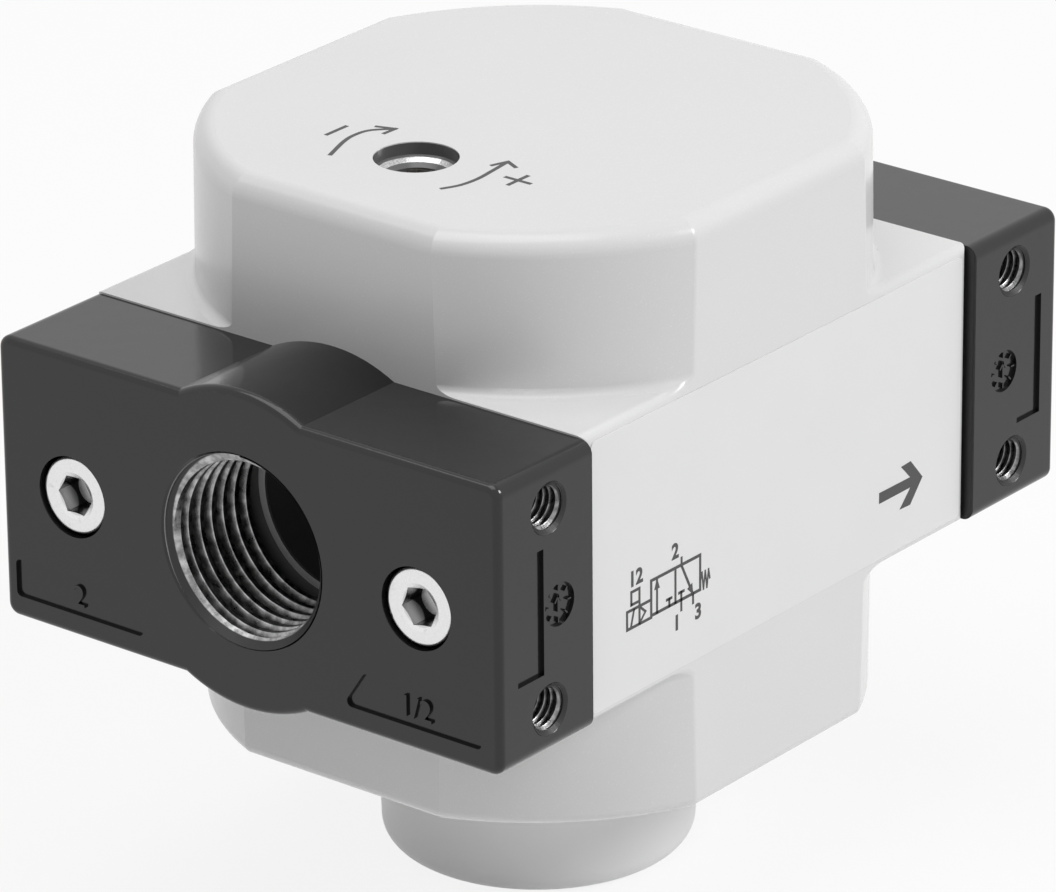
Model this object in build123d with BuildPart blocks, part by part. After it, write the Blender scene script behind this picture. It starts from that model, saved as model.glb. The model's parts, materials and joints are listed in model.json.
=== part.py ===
from build123d import *
from math import atan2, cos, radians, sin, tan
import os

os.makedirs("parts", exist_ok=True)

# Soft-start valve, in millimetres. X runs along the flow, from the inlet to the outlet. Z is up.
# The valve stands on its bottom cap at Z = 0, with the column's axis on the Z axis.

# Body casting
arm_length = 66.0
arm_width = 65.0
arm_height = 32.0
arm_edge_radius = 1.0
column_radius = 35.9
column_draft = 0.7
turret_rise = 33.2
column_drop = 32.2
turret_rim_radius = 2.3
column_foot_radius = 1.2
column_root_radius = 1.0

# Port plates
plate_thickness = 15.0
plate_overhang = 0.7
plate_step_down = 0.2
plate_edge_radius = 0.8
plate_corner_radius = 1.4
plate_offset_y = -0.45
boss_radius = 17.75
port_radius = 10.4775
port_mouth_chamfer = 0.3

# Plate screws, M5 with socket heads
screw_spacing = 46.0
screw_radius = 2.5
screw_length = 20.0
screw_head_radius = 4.25
screw_head_height = 5.0
screw_head_sink = 0.35
screw_socket_flats = 4.0
screw_socket_depth = 2.6
screw_socket_turns = {-1: (50, 0), 1: (30, 30)}
screw_hole_depth = 14.0
thread_gap = 0.05
screw_hole_clearance = 0.25
screw_head_edge = 0.5
screw_tip_chamfer = 0.5
screw_socket_mouth_radius = 2.6
screw_socket_mouth_depth = 0.3
counterbore_clearance = 0.25

# Threaded holes in the sides of the plates, M5
side_hole_radius = 2.5
side_hole_mouth_radius = 2.85
side_hole_depth = 10.0
side_hole_spacing = 22.0
side_hole_from_face = 8.0

# Shallow moulded fields on the plates
field_depth = 0.4
front_field_inner = 13.2
front_field_length = 18.0
front_field_height = 4.2
front_field_slant = 2.8
front_field_from_edge = 2.5
front_field_corner = 0.6
side_field_width = 4.2
side_field_height = 13.8
side_field_from_face = 2.9
date_field_radius = 2.35
date_field_gap = 0.2

# Passages in the body, levels measured from the port axis
mouth_radius = 9.3
mouth_depth = 4.0
passage_radius = 7.5
passage_end_x = 9.5
passage_end_level = 13.65405
upper_chamber_clearance = 1.0
turret_roof_thickness = 12.2
flow_gap = 2.5
web_top = 1.5
web_bottom = -2.5
cap_thread_length = 12.2
shoulder_width = 1.0

# Valve seat
seat_bore_radius = 10.3
seat_wall = 1.2
seat_flange_width = 1.3
seat_flange_thickness = 1.5
seat_rim_height = 0.8
seat_rim_width = 1.1
seat_gap = 0.1
press_gap = 0.02

# Poppet, stem and piston
poppet_past_rim = 1.1
poppet_thickness = 4.0
poppet_lip_width = 0.7
poppet_seal_thickness = 2.5
poppet_seal_inner_radius = 8.0
poppet_seal_proud = 0.5
poppet_seal_corner = 0.3
stem_radius = 2.5
stem_shoulder_radius = 5.0
stem_shoulder_height = 2.0
stem_thread_radius = 2.0
stem_above_bush = 0.6
stem_edge = 0.4
guide_bush_radius = 4.5
guide_bush_length = 7.0
guide_bore_depth = 8.5
running_clearance = 0.05
piston_radius = 7.95
piston_neck_radius = 4.0
piston_below_insert_top = 1.0
piston_height = 9.0
piston_recess_clearance = 0.6
piston_recess_depth = 4.0
piston_groove_from_top = 1.4
piston_groove_height = 2.4
piston_groove_depth = 1.75
ring_side_gap = 0.1
ring_corner = 0.4
nut_flats = 7.0
nut_height = 3.2
nut_edge = 0.4
stem_end_proud = 1.0

# Guide insert, cap and spring
insert_tube_wall = 2.0
insert_top_above_shoulder = 5.0
insert_flange_thickness = 2.5
insert_flange_clearance = 0.2
insert_tube_below_flange = 8.0
insert_groove_height = 1.4
insert_groove_depth = 1.6
insert_groove_from_top = 0.55
cap_radius = 17.3
cap_height = 17.4
cap_draft = 1.0
cap_edge_radius = 2.6
cap_spigot_clearance = 0.1
cap_bore_clearance = 0.3
cap_floor_clearance = 0.5
cap_chamber_depth = 18.5
cap_chamber_clearance = 0.4
cap_groove_from_top = 2.6
cap_groove_height = 2.4
cap_groove_depth = 1.7
cap_socket_flats = 12.0
cap_socket_depth = 4.0
breather_radius = 1.5
filter_radius = 3.0
filter_thickness = 1.6
spring_wire_radius = 0.6
spring_radius = 5.4
spring_turns = 6.0

# Throttle, off the column's axis towards the inlet
throttle_x = -17.15
throttle_y = 1.7
adjusting_hole_radius = 4.5
adjusting_hole_depth = 1.4
drill_point_angle = 118.0
throttle_bore_radius = 3.0
throttle_screw_below_top = 6.2
throttle_screw_clearance = 0.08
throttle_screw_edge = 0.3
throttle_thread_length = 9.0
throttle_slot_width = 1.0
throttle_slot_depth = 1.6
throttle_groove_height = 2.0
throttle_groove_depth = 1.0
throttle_seal_corner = 0.3
throttle_land_height = 0.8
needle_radius = 1.35
needle_length = 2.2
needle_point_length = 3.0
needle_point_radius = 0.3
needle_in_orifice = 1.5
orifice_radius = 1.5
slow_passage_radius = 1.5
slow_passage_above_seat = 2.0
retaining_ring_below_top = 3.95
retaining_ring_wire = 0.45
retaining_ring_opening = 30.0

# Printed film on the side
label_thickness = 0.1
label_end_margin = 1.2
label_edge_margin = 1.0
label_corner_radius = 0.6

# Plate seals
plate_seal_from_port = 2.5225
plate_seal_width = 2.2
plate_seal_height = 1.6
groove_side_gap = 0.2

# Worked-out places
port_level = cap_height + column_drop
top_level = port_level + turret_rise
arm_end = arm_length / 2
plate_face = arm_end + plate_thickness
arm_side = arm_width / 2
plate_width = arm_width + 2 * plate_overhang
plate_height = arm_height - 2 * plate_step_down
label_length = arm_length - 2 * label_end_margin
label_height = arm_height - 2 * label_edge_margin
plate_seal_radius = port_radius + plate_seal_from_port
screw_y = screw_spacing / 2
half_point = radians(drill_point_angle / 2)
throttle_axis = Axis((throttle_x, throttle_y, 0), (0, 0, 1))
seat_press_radius = seat_bore_radius + seat_wall
seat_flange_radius = seat_press_radius + seat_flange_width
seat_rim_level = web_bottom - seat_flange_thickness - seat_rim_height
poppet_radius = seat_bore_radius + seat_rim_width + poppet_past_rim
upper_chamber_radius = seat_press_radius + upper_chamber_clearance
upper_chamber_roof = turret_rise - turret_roof_thickness
lower_chamber_radius = poppet_radius + flow_gap
cap_thread_radius = lower_chamber_radius + shoulder_width
shoulder_level = cap_thread_length - column_drop
stem_top = upper_chamber_roof + guide_bush_length + stem_above_bush
poppet_seal_top = seat_rim_level - seat_gap
poppet_top = poppet_seal_top - poppet_seal_proud
poppet_bottom = poppet_top - poppet_thickness
insert_top = shoulder_level + insert_top_above_shoulder
piston_top = insert_top - piston_below_insert_top
piston_bottom = piston_top - piston_height
piston_floor = piston_bottom + piston_recess_depth
stem_bore_radius = stem_thread_radius + running_clearance
stem_end = piston_floor - nut_height - stem_end_proud
piston_recess_radius = spring_radius + spring_wire_radius + piston_recess_clearance
cap_chamber_radius = spring_radius + spring_wire_radius + cap_chamber_clearance
insert_bore_radius = piston_radius + running_clearance
insert_tube_radius = insert_bore_radius + insert_tube_wall
insert_flange_bottom = shoulder_level - insert_flange_thickness
insert_bottom = insert_flange_bottom - insert_tube_below_flange
cap_bore_floor = insert_bottom - cap_floor_clearance
cap_chamber_floor = insert_flange_bottom - cap_chamber_depth
cap_bottom = -column_drop - cap_height
throttle_screw_top = turret_rise - throttle_screw_below_top
retaining_ring_level = turret_rise - retaining_ring_below_top
throttle_screw_radius = throttle_bore_radius - throttle_screw_clearance
throttle_groove_radius = throttle_screw_radius - throttle_groove_depth
throttle_groove_top = throttle_screw_top - throttle_thread_length
throttle_groove_bottom = throttle_groove_top - throttle_groove_height
needle_top = throttle_groove_bottom - throttle_land_height
needle_cone_top = needle_top - needle_length
throttle_seat_level = needle_cone_top - needle_point_length + needle_in_orifice
adjusting_cone_height = (adjusting_hole_radius - throttle_bore_radius) / tan(half_point)


def level(height):
    """Height above the standing plane of a height measured from the port axis."""
    return port_level + height


def half_section(points, x=0, y=0):
    """Half section from (radius, height over the port axis) points, beside the upright axis at x, y."""
    with BuildSketch(Plane(origin=(x, y, 0), x_dir=(1, 0, 0), z_dir=(0, -1, 0))) as section:
        with BuildLine():
            Polyline([(r, level(h)) for r, h in points], close=True)
        make_face()
    return section.sketch


def turned_ring(inner, outer, top, height, corner=0, x=0, y=0):
    """Ring about the upright axis at x, y, hanging down from its top, with rounded edges."""
    with BuildPart() as ring:
        with BuildSketch(Plane.XY.offset(level(top - height))):
            with Locations((x, y)):
                Circle(outer)
                Circle(inner, mode=Mode.SUBTRACT)
        extrude(amount=height)
        if corner:
            chamfer(ring.edges().filter_by(GeomType.CIRCLE), corner)
    return ring


def end_plane(side, distance):
    """Upright plane facing into the body, at a distance from the column: side -1 inlet, 1 outlet."""
    return Plane(origin=(side * distance, 0, port_level), x_dir=(0, -side, 0), z_dir=(-side, 0, 0))


def drill(radius, depth):
    """Drilled hole's shape, its mouth at the origin and its point down the Z axis."""
    with BuildPart() as bit:
        with BuildSketch(Plane.XZ):
            with BuildLine():
                Polyline((0, 0), (radius, 0), (radius, -depth), (0, -depth - radius / tan(half_point)), close=True)
            make_face()
        revolve(axis=Axis.Z)
    return bit.part


# Housing: the drafted round column cut to four flats, and the flow arm across it
column_taper = tan(radians(column_draft))
upper_radius = column_radius - turret_rise * column_taper
lower_radius = column_radius - column_drop * column_taper
elbow_x = arm_end - mouth_depth
slope = atan2(passage_end_level, elbow_x - passage_end_x)
passage_run = (elbow_x - passage_end_x) / cos(slope)

with BuildPart() as housing:
    revolve(half_section([
        (0, -column_drop),
        (lower_radius, -column_drop),
        (column_radius, 0),
        (upper_radius, turret_rise),
        (0, turret_rise),
    ]))
    with BuildSketch(Plane.XY):
        Rectangle(arm_length, arm_width)
    extrude(amount=top_level, mode=Mode.INTERSECT)
    with BuildSketch(Plane.YZ.offset(-arm_end)):
        with Locations((0, port_level)):
            Rectangle(arm_width, arm_height)
    extrude(amount=arm_length)
    at_arm_edge = lambda e: abs(abs(e.center().Z - port_level) - arm_height / 2) < 0.01
    fillet(housing.edges().filter_by(GeomType.CIRCLE).filter_by(at_arm_edge), column_root_radius)
    at_arm_end = lambda e: abs(abs(e.center().X) - arm_end) + abs(abs(e.center().Y) - arm_side) < 0.01
    arm_edges = housing.edges().filter_by(Axis.X).filter_by(at_arm_edge)
    arm_edges += housing.edges().filter_by(Axis.Z).filter_by(at_arm_end)
    fillet(arm_edges, arm_edge_radius)
    fillet(housing.faces().sort_by(Axis.Z)[-1].outer_wire().edges(), turret_rim_radius)
    fillet(housing.faces().sort_by(Axis.Z)[0].outer_wire().edges(), column_foot_radius)

    # Central bore: stem guide in the roof, outlet chamber, web, inlet chamber and the cap's thread
    revolve(half_section([
        (0, upper_chamber_roof + guide_bore_depth),
        (guide_bush_radius, upper_chamber_roof + guide_bore_depth),
        (guide_bush_radius, upper_chamber_roof),
        (upper_chamber_radius, upper_chamber_roof),
        (upper_chamber_radius, web_top),
        (seat_press_radius, web_top),
        (seat_press_radius, web_bottom),
        (lower_chamber_radius, web_bottom),
        (lower_chamber_radius, shoulder_level),
        (cap_thread_radius, shoulder_level),
        (cap_thread_radius, -column_drop),
        (0, -column_drop),
    ]), mode=Mode.SUBTRACT)

    # Passages: the inlet slopes down to the chamber under the web, the outlet up to the one above it
    for side in (-1, 1):
        with BuildSketch(end_plane(side, arm_end)):
            Circle(mouth_radius)
        with BuildSketch(end_plane(side, elbow_x)):
            Circle(passage_radius)
        loft(mode=Mode.SUBTRACT)
        with Locations((side * elbow_x, 0, port_level)):
            Sphere(passage_radius, mode=Mode.SUBTRACT)
        downhill = (-side * cos(slope), 0, side * sin(slope))
        with BuildSketch(Plane(origin=(side * elbow_x, 0, port_level), z_dir=downhill)):
            Circle(passage_radius)
        extrude(amount=passage_run, mode=Mode.SUBTRACT)
        for y in (-screw_y, screw_y):
            with Locations(Location((side * arm_end, y, port_level), (0, side * 90, 0))):
                add(drill(screw_radius, screw_hole_depth), mode=Mode.SUBTRACT)

    # Throttle bore from the top: adjusting hole with its drilled cone, ring groove, bore and orifice
    ring_groove_depth = throttle_bore_radius + retaining_ring_wire + running_clearance
    ring_groove_half = retaining_ring_wire + running_clearance
    revolve(half_section([
        (0, turret_rise),
        (adjusting_hole_radius, turret_rise),
        (adjusting_hole_radius, turret_rise - adjusting_hole_depth),
        (throttle_bore_radius, turret_rise - adjusting_hole_depth - adjusting_cone_height),
        (throttle_bore_radius, retaining_ring_level + ring_groove_half),
        (ring_groove_depth, retaining_ring_level + ring_groove_half),
        (ring_groove_depth, retaining_ring_level - ring_groove_half),
        (throttle_bore_radius, retaining_ring_level - ring_groove_half),
        (throttle_bore_radius, throttle_seat_level),
        (orifice_radius, throttle_seat_level),
        (orifice_radius, web_bottom),
        (0, web_bottom),
    ], throttle_x, throttle_y), axis=throttle_axis, mode=Mode.SUBTRACT)

    # Slow passage from the needle's chamber to the outlet chamber, drilled in line with the outlet
    slow_level = throttle_seat_level + slow_passage_above_seat
    drilling = (arm_end - throttle_x, -throttle_y, web_top - slow_level)
    with BuildSketch(Plane(origin=(throttle_x, throttle_y, level(slow_level)), z_dir=drilling)):
        Circle(slow_passage_radius)
    extrude(amount=-throttle_x - upper_chamber_radius / 2, mode=Mode.SUBTRACT)
housing.part.label = "housing"
export_step(housing.part, "parts/housing.step")


# Port plates: a bar with a round boss about the port, the same casting at both ends
def port_plate(side):
    """Port plate on the end of the flow arm, its outer face away from the body."""
    face = end_plane(side, plate_face)
    with BuildPart() as plate:
        with BuildSketch(face):
            with Locations((-side * plate_offset_y, 0)):
                RectangleRounded(plate_width, plate_height, plate_corner_radius)
            Circle(boss_radius)
        extrude(amount=plate_thickness)
        outer_face = plate.faces().sort_by(Axis((0, 0, 0), (-side, 0, 0)))[0]
        fillet(outer_face.outer_wire().edges(), plate_edge_radius)

        # Port, counterbored screw holes, and the seal's groove in the face on the body
        with BuildSketch(face):
            Circle(port_radius)
        extrude(amount=plate_thickness, mode=Mode.SUBTRACT)
        mouth = plate.edges().filter_by(GeomType.CIRCLE).filter_by(
            lambda e: abs(e.radius - port_radius) < 0.01 and abs(abs(e.center().X) - plate_face) < 0.01)
        chamfer(mouth, port_mouth_chamfer)
        with BuildSketch(face):
            with Locations((-screw_y, 0), (screw_y, 0)):
                Circle(screw_head_radius + counterbore_clearance)
        extrude(amount=screw_head_height + screw_head_sink, mode=Mode.SUBTRACT)
        with BuildSketch(face):
            with Locations((-screw_y, 0), (screw_y, 0)):
                Circle(screw_radius + screw_hole_clearance)
        extrude(amount=plate_thickness, mode=Mode.SUBTRACT)
        with BuildSketch(end_plane(side, arm_end)):
            Circle(plate_seal_radius + plate_seal_width / 2 + groove_side_gap)
            Circle(plate_seal_radius - plate_seal_width / 2 - groove_side_gap, mode=Mode.SUBTRACT)
        extrude(amount=-plate_seal_height, mode=Mode.SUBTRACT)

        # Shallow fields on the outer face, one each side of the port, for the port's markings
        field_low = front_field_from_edge - plate_height / 2
        field_high = field_low + front_field_height
        for hand in (-1, 1):
            with BuildSketch(face) as field:
                with BuildLine():
                    Polyline([
                        (hand * front_field_inner, field_low),
                        (hand * (front_field_inner + front_field_length), field_low),
                        (hand * (front_field_inner + front_field_length), field_high),
                        (hand * (front_field_inner + front_field_slant), field_high),
                    ], close=True)
                make_face()
                fillet(field.vertices(), front_field_corner)
            extrude(amount=field_depth, mode=Mode.SUBTRACT)

        # Sides: a tall field, a round one beside it and two threaded holes
        date_from_face = side_field_from_face + side_field_width + date_field_gap + date_field_radius
        for hand in (-1, 1):
            wall_y = plate_offset_y + hand * plate_width / 2
            wall = Plane(origin=(side * plate_face, wall_y, port_level), x_dir=(-side, 0, 0), z_dir=(0, -hand, 0))
            with BuildSketch(wall):
                with Locations((side_field_from_face + side_field_width / 2, 0)):
                    Rectangle(side_field_width, side_field_height)
                with Locations((date_from_face, 0)):
                    Circle(date_field_radius)
            extrude(amount=field_depth, mode=Mode.SUBTRACT)
            for height in (-side_hole_spacing / 2, side_hole_spacing / 2):
                hole_x = side * (plate_face - side_hole_from_face)
                with Locations(Location((hole_x, wall_y, level(height)), (-hand * 90, 0, 0))):
                    add(drill(side_hole_radius, side_hole_depth), mode=Mode.SUBTRACT)
            mouths = plate.edges().filter_by(GeomType.CIRCLE).filter_by(
                lambda e: abs(e.radius - side_hole_radius) < 0.01
                and abs(e.center().Y - wall_y) < 0.01)
            chamfer(mouths, side_hole_mouth_radius - side_hole_radius)
    return plate


inlet_plate = port_plate(-1)
inlet_plate.part.label = "inlet_plate"
export_step(inlet_plate.part, "parts/inlet_plate.step")

outlet_plate = port_plate(1)
outlet_plate.part.label = "outlet_plate"
export_step(outlet_plate.part, "parts/outlet_plate.step")


# Plate screws: socket heads in the counterbores, threads in the body
def plate_screws(side):
    """The two screws of one port plate."""
    head_top = end_plane(side, plate_face - screw_head_sink)
    places = [(-screw_y, 0), (screw_y, 0)]
    with BuildPart() as screws:
        with BuildSketch(head_top):
            with Locations(*places):
                Circle(screw_head_radius)
        extrude(amount=screw_head_height)
        top_edges = screws.edges().filter_by(GeomType.CIRCLE).filter_by(
            lambda e: abs(abs(e.center().X) - plate_face + screw_head_sink) < 0.01)
        fillet(top_edges, screw_head_edge)
        with BuildSketch(head_top.offset(screw_head_height)):
            with Locations(*places):
                Circle(screw_radius - thread_gap)
        extrude(amount=screw_length)
        tips = screws.edges().filter_by(GeomType.CIRCLE).sort_by(Axis.X)
        tips = tips[-2:] if side < 0 else tips[:2]
        chamfer(tips, screw_tip_chamfer)
        with BuildSketch(head_top):
            for place, turn in zip(places, screw_socket_turns[side]):
                with Locations(place):
                    RegularPolygon(screw_socket_flats / 2, 6, major_radius=False, rotation=turn)
        extrude(amount=screw_socket_depth, mode=Mode.SUBTRACT)
        for place in places:
            with Locations(head_top * Location((place[0], place[1], 0))):
                Cone(screw_socket_mouth_radius, screw_socket_flats / 2, screw_socket_mouth_depth,
                     align=(Align.CENTER, Align.CENTER, Align.MIN), mode=Mode.SUBTRACT)
    return screws


inlet_plate_screws = plate_screws(-1)
inlet_plate_screws.part.label = "inlet_plate_screws"
export_step(inlet_plate_screws.part, "parts/inlet_plate_screws.step")

outlet_plate_screws = plate_screws(1)
outlet_plate_screws.part.label = "outlet_plate_screws"
export_step(outlet_plate_screws.part, "parts/outlet_plate_screws.step")


# Seals between plates and body, squeezed to the depth of their grooves
def plate_seal(side):
    """Seal ring round one port, from the body's end face into the plate's groove."""
    with BuildPart() as ring:
        with BuildSketch(end_plane(side, arm_end)):
            Circle(plate_seal_radius + plate_seal_width / 2)
            Circle(plate_seal_radius - plate_seal_width / 2, mode=Mode.SUBTRACT)
        extrude(amount=-plate_seal_height)
        chamfer(ring.edges().filter_by(GeomType.CIRCLE), ring_corner)
    return ring


inlet_plate_seal = plate_seal(-1)
inlet_plate_seal.part.label = "inlet_plate_seal"
export_step(inlet_plate_seal.part, "parts/inlet_plate_seal.step")

outlet_plate_seal = plate_seal(1)
outlet_plate_seal.part.label = "outlet_plate_seal"
export_step(outlet_plate_seal.part, "parts/outlet_plate_seal.step")

# Seat ring, pressed into the web from below, with a narrow rim for the poppet
with BuildPart() as seat_ring:
    revolve(half_section([
        (seat_bore_radius, web_top),
        (seat_press_radius - press_gap, web_top),
        (seat_press_radius - press_gap, web_bottom),
        (seat_flange_radius, web_bottom),
        (seat_flange_radius, web_bottom - seat_flange_thickness),
        (seat_bore_radius + seat_rim_width, web_bottom - seat_flange_thickness),
        (seat_bore_radius + seat_rim_width, seat_rim_level),
        (seat_bore_radius, seat_rim_level),
    ]))
seat_ring.part.label = "seat_ring"
export_step(seat_ring.part, "parts/seat_ring.step")

# Bush in the roof, for the top of the stem
stem_guide_bush = turned_ring(stem_radius + running_clearance, guide_bush_radius - press_gap,
                              upper_chamber_roof + guide_bush_length, guide_bush_length)
stem_guide_bush.part.label = "stem_guide_bush"
export_step(stem_guide_bush.part, "parts/stem_guide_bush.step")

# Valve stem: guided at the top, with a shoulder on the poppet and a threaded end
with BuildPart() as valve_stem:
    revolve(half_section([
        (0, stem_top),
        (stem_radius - stem_edge, stem_top),
        (stem_radius, stem_top - stem_edge),
        (stem_radius, poppet_top + stem_shoulder_height),
        (stem_shoulder_radius, poppet_top + stem_shoulder_height),
        (stem_shoulder_radius, poppet_top),
        (stem_thread_radius, poppet_top),
        (stem_thread_radius, stem_end + stem_edge),
        (stem_thread_radius - stem_edge, stem_end),
        (0, stem_end),
    ]))
valve_stem.part.label = "valve_stem"
export_step(valve_stem.part, "parts/valve_stem.step")

# Poppet disc with the seal's groove in its top
poppet_seal_outer_radius = poppet_radius - poppet_lip_width
poppet_groove_floor = poppet_seal_top - poppet_seal_thickness
with BuildPart() as poppet_disc:
    revolve(half_section([
        (stem_bore_radius, poppet_top),
        (poppet_seal_inner_radius, poppet_top),
        (poppet_seal_inner_radius, poppet_groove_floor),
        (poppet_seal_outer_radius, poppet_groove_floor),
        (poppet_seal_outer_radius, poppet_top),
        (poppet_radius, poppet_top),
        (poppet_radius, poppet_bottom),
        (stem_bore_radius, poppet_bottom),
    ]))
poppet_disc.part.label = "poppet_disc"
export_step(poppet_disc.part, "parts/poppet_disc.step")

poppet_seal = turned_ring(poppet_seal_inner_radius + press_gap, poppet_seal_outer_radius - press_gap,
                          poppet_seal_top, poppet_seal_thickness, poppet_seal_corner)
poppet_seal.part.label = "poppet_seal"
export_step(poppet_seal.part, "parts/poppet_seal.step")

# Piston: neck under the poppet, ring groove, and a recess for the nut and the spring
piston_groove_top = piston_top - piston_groove_from_top
piston_groove_radius = piston_radius - piston_groove_depth
with BuildPart() as piston:
    revolve(half_section([
        (stem_bore_radius, poppet_bottom),
        (piston_neck_radius, poppet_bottom),
        (piston_neck_radius, piston_top),
        (piston_radius, piston_top),
        (piston_radius, piston_groove_top),
        (piston_groove_radius, piston_groove_top),
        (piston_groove_radius, piston_groove_top - piston_groove_height),
        (piston_radius, piston_groove_top - piston_groove_height),
        (piston_radius, piston_bottom),
        (piston_recess_radius, piston_bottom),
        (piston_recess_radius, piston_floor),
        (stem_bore_radius, piston_floor),
    ]))
piston.part.label = "piston"
export_step(piston.part, "parts/piston.step")

piston_seal = turned_ring(piston_groove_radius + press_gap, piston_radius + press_gap,
                          piston_groove_top - ring_side_gap,
                          piston_groove_height - 2 * ring_side_gap, ring_corner)
piston_seal.part.label = "piston_seal"
export_step(piston_seal.part, "parts/piston_seal.step")

# Nut under the piston, its corners turned off top and bottom
nut_corner_radius = nut_flats / 2 / cos(radians(30))
with BuildPart() as stem_nut:
    revolve(half_section([
        (0, piston_floor),
        (nut_corner_radius - nut_edge, piston_floor),
        (nut_corner_radius, piston_floor - nut_edge / 2),
        (nut_corner_radius, piston_floor - nut_height + nut_edge / 2),
        (nut_corner_radius - nut_edge, piston_floor - nut_height),
        (0, piston_floor - nut_height),
    ]))
    with BuildSketch(Plane.XY.offset(level(piston_floor - nut_height))):
        RegularPolygon(nut_flats / 2, 6, major_radius=False)
        Circle(stem_bore_radius, mode=Mode.SUBTRACT)
    extrude(amount=nut_height, mode=Mode.INTERSECT)
stem_nut.part.label = "stem_nut"
export_step(stem_nut.part, "parts/stem_nut.step")

# Guide insert: the piston's cylinder, its flange clamped between the shoulder and the cap
insert_flange_radius = cap_thread_radius - insert_flange_clearance
insert_groove_radius = insert_flange_radius - insert_groove_depth
insert_groove_top = shoulder_level - insert_groove_from_top
with BuildPart() as guide_insert:
    revolve(half_section([
        (insert_bore_radius, insert_top),
        (insert_tube_radius, insert_top),
        (insert_tube_radius, shoulder_level),
        (insert_flange_radius, shoulder_level),
        (insert_flange_radius, insert_groove_top),
        (insert_groove_radius, insert_groove_top),
        (insert_groove_radius, insert_groove_top - insert_groove_height),
        (insert_flange_radius, insert_groove_top - insert_groove_height),
        (insert_flange_radius, insert_flange_bottom),
        (insert_tube_radius, insert_flange_bottom),
        (insert_tube_radius, insert_bottom),
        (insert_bore_radius, insert_bottom),
    ]))
guide_insert.part.label = "guide_insert"
export_step(guide_insert.part, "parts/guide_insert.step")

guide_insert_seal = turned_ring(insert_groove_radius + press_gap, cap_thread_radius - press_gap,
                                insert_groove_top - ring_side_gap,
                                insert_groove_height - 2 * ring_side_gap, ring_corner)
guide_insert_seal.part.label = "guide_insert_seal"
export_step(guide_insert_seal.part, "parts/guide_insert_seal.step")

# Bottom cap: drafted round stub, threaded spigot, spring chamber, breather and a hexagon socket
spigot_radius = cap_thread_radius - cap_spigot_clearance
cap_bore_radius = insert_tube_radius + cap_bore_clearance
cap_groove_top = insert_flange_bottom - cap_groove_from_top
cap_groove_radius = spigot_radius - cap_groove_depth
cap_foot_radius = cap_radius - cap_height * tan(radians(cap_draft))
with BuildPart() as bottom_cap:
    revolve(half_section([
        (cap_bore_radius, insert_flange_bottom),
        (spigot_radius, insert_flange_bottom),
        (spigot_radius, cap_groove_top),
        (cap_groove_radius, cap_groove_top),
        (cap_groove_radius, cap_groove_top - cap_groove_height),
        (spigot_radius, cap_groove_top - cap_groove_height),
        (spigot_radius, -column_drop),
        (cap_radius, -column_drop),
        (cap_foot_radius, cap_bottom),
        (0, cap_bottom),
        (0, cap_chamber_floor),
        (cap_chamber_radius, cap_chamber_floor),
        (cap_chamber_radius, cap_bore_floor),
        (cap_bore_radius, cap_bore_floor),
    ]))
    fillet(bottom_cap.faces().sort_by(Axis.Z)[0].outer_wire().edges(), cap_edge_radius)
    with BuildSketch(Plane.XY):
        RegularPolygon(cap_socket_flats / 2, 6, major_radius=False)
    extrude(amount=cap_socket_depth, mode=Mode.SUBTRACT)
    with BuildSketch(Plane.XY):
        Circle(breather_radius)
    extrude(amount=level(cap_chamber_floor), mode=Mode.SUBTRACT)
    with BuildSketch(Plane.XY.offset(level(cap_chamber_floor) - filter_thickness)):
        Circle(filter_radius)
    extrude(amount=filter_thickness, mode=Mode.SUBTRACT)
bottom_cap.part.label = "bottom_cap"
export_step(bottom_cap.part, "parts/bottom_cap.step")

bottom_cap_seal = turned_ring(cap_groove_radius + press_gap, cap_thread_radius - press_gap,
                              cap_groove_top - ring_side_gap,
                              cap_groove_height - 2 * ring_side_gap, ring_corner)
bottom_cap_seal.part.label = "bottom_cap_seal"
export_step(bottom_cap_seal.part, "parts/bottom_cap_seal.step")

# Sintered disc over the breather hole
with BuildPart() as breather_filter:
    with BuildSketch(Plane.XY.offset(level(cap_chamber_floor) - filter_thickness)):
        Circle(filter_radius - press_gap)
    extrude(amount=filter_thickness)
breather_filter.part.label = "breather_filter"
export_step(breather_filter.part, "parts/breather_filter.step")

# Return spring between the cap's floor and the piston's recess, its ends ground flat
spring_length = piston_floor - cap_chamber_floor
with BuildPart() as return_spring:
    with BuildLine() as coil:
        Helix(spring_length / spring_turns, spring_length, spring_radius,
              center=(0, 0, level(cap_chamber_floor)))
    with BuildSketch(Plane(origin=coil.line @ 0, z_dir=coil.line % 0)):
        Circle(spring_wire_radius)
    sweep(is_frenet=True)
    with BuildSketch(Plane.XY.offset(level(cap_chamber_floor))):
        Circle(spring_radius + 2 * spring_wire_radius)
    extrude(amount=spring_length, mode=Mode.INTERSECT)
return_spring.part.label = "return_spring"
export_step(return_spring.part, "parts/return_spring.step")

# Throttle screw: slotted head, ring groove, and the needle over its orifice
with BuildPart() as throttle_screw:
    revolve(half_section([
        (0, throttle_screw_top),
        (throttle_screw_radius - throttle_screw_edge, throttle_screw_top),
        (throttle_screw_radius, throttle_screw_top - throttle_screw_edge),
        (throttle_screw_radius, throttle_groove_top),
        (throttle_groove_radius, throttle_groove_top),
        (throttle_groove_radius, throttle_groove_bottom),
        (throttle_screw_radius, throttle_groove_bottom),
        (throttle_screw_radius, needle_top),
        (needle_radius, needle_top),
        (needle_radius, needle_cone_top),
        (needle_point_radius, needle_cone_top - needle_point_length),
        (0, needle_cone_top - needle_point_length),
    ], throttle_x, throttle_y), axis=throttle_axis)
    with BuildSketch(Plane.XY.offset(level(throttle_screw_top))):
        with Locations((throttle_x, throttle_y)):
            Rectangle(2 * throttle_bore_radius, throttle_slot_width)
    extrude(amount=-throttle_slot_depth, mode=Mode.SUBTRACT)
throttle_screw.part.label = "throttle_screw"
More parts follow.
